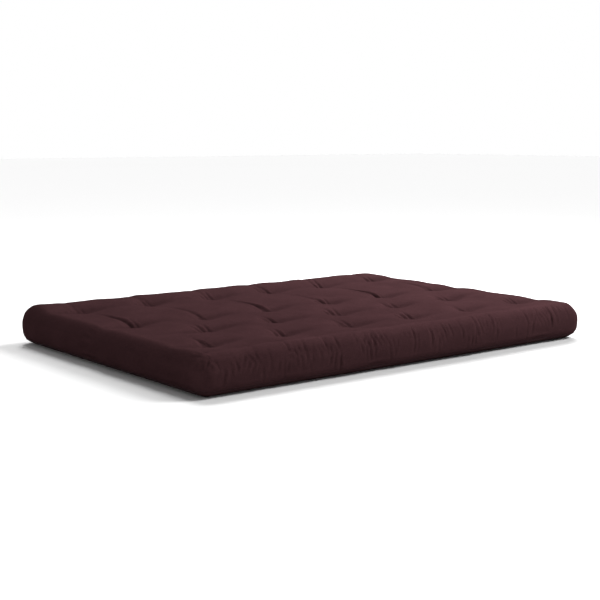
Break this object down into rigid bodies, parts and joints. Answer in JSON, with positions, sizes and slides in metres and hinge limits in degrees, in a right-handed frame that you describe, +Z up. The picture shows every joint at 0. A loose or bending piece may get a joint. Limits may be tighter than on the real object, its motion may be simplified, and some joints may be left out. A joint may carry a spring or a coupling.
{
  "type": "futon mattress",
  "caption": "Double futon mattress: cotton batting over a foam core in a dark twill cover, tufted through with twine, folding once across its depth for a sofa bed.",
  "frame": {"origin": "on the surface that the mattress lies on, under the middle of the whole mattress when it is flat", "axes": "+X along the 2 m long side, +Y from the front edge to the back edge, across the fold, +Z up"},
  "size_m": [2.02, 1.42, 0.16],
  "materials": {
    "cover_cloth": "matte",
    "bottom_cloth": "matte",
    "seam_cloth": "matte",
    "cotton_batting": "matte",
    "foam": "matte",
    "twine": "satin",
    "seam_thread": "satin"
  },
  "bodies": {
    "seat": {"seat_top_cover": "cover_cloth", "seat_bottom_panel": "bottom_cloth", "seat_seam_allowance": "seam_cloth", "seat_foam_core": "foam", "seat_batting_1": "cotton_batting", "seat_batting_2": "cotton_batting", "seat_batting_3": "cotton_batting", "seat_batting_4": "cotton_batting", "seat_batting_5": "cotton_batting", "seat_batting_6": "cotton_batting", "seat_tuft_tie_1": "twine", "seat_tuft_tie_2": "twine", "seat_tuft_tie_3": "twine", "seat_tuft_tie_4": "twine", "seat_tuft_tie_5": "twine", "seat_tuft_tie_6": "twine", "seat_tuft_tie_7": "twine", "seat_tuft_tie_8": "twine", "seat_tuft_tie_9": "twine", "seat_tuft_tie_10": "twine", "seat_tuft_tie_11": "twine", "seat_tuft_tie_12": "twine", "seat_tuft_tie_13": "twine", "seat_tuft_tie_14": "twine", "seat_tuft_tie_15": "twine", "seat_tuft_tie_16": "twine", "seat_tuft_tie_17": "twine"},
    "back": {"back_top_cover": "cover_cloth", "back_bottom_panel": "bottom_cloth", "back_seam_allowance": "seam_cloth", "closing_stitches": "seam_thread", "back_foam_core": "foam", "back_batting_1": "cotton_batting", "back_batting_2": "cotton_batting", "back_batting_3": "cotton_batting", "back_batting_4": "cotton_batting", "back_batting_5": "cotton_batting", "back_batting_6": "cotton_batting", "back_tuft_tie_1": "twine", "back_tuft_tie_2": "twine", "back_tuft_tie_3": "twine", "back_tuft_tie_4": "twine", "back_tuft_tie_5": "twine", "back_tuft_tie_6": "twine"}
  },
  "joints": [
    {"name": "fold", "type": "hinge", "parent": "seat", "child": "back", "pos_m": [0, 0.105, 0.16], "axis": [1, 0, 0], "range_deg": [0, 75]}
  ]
}
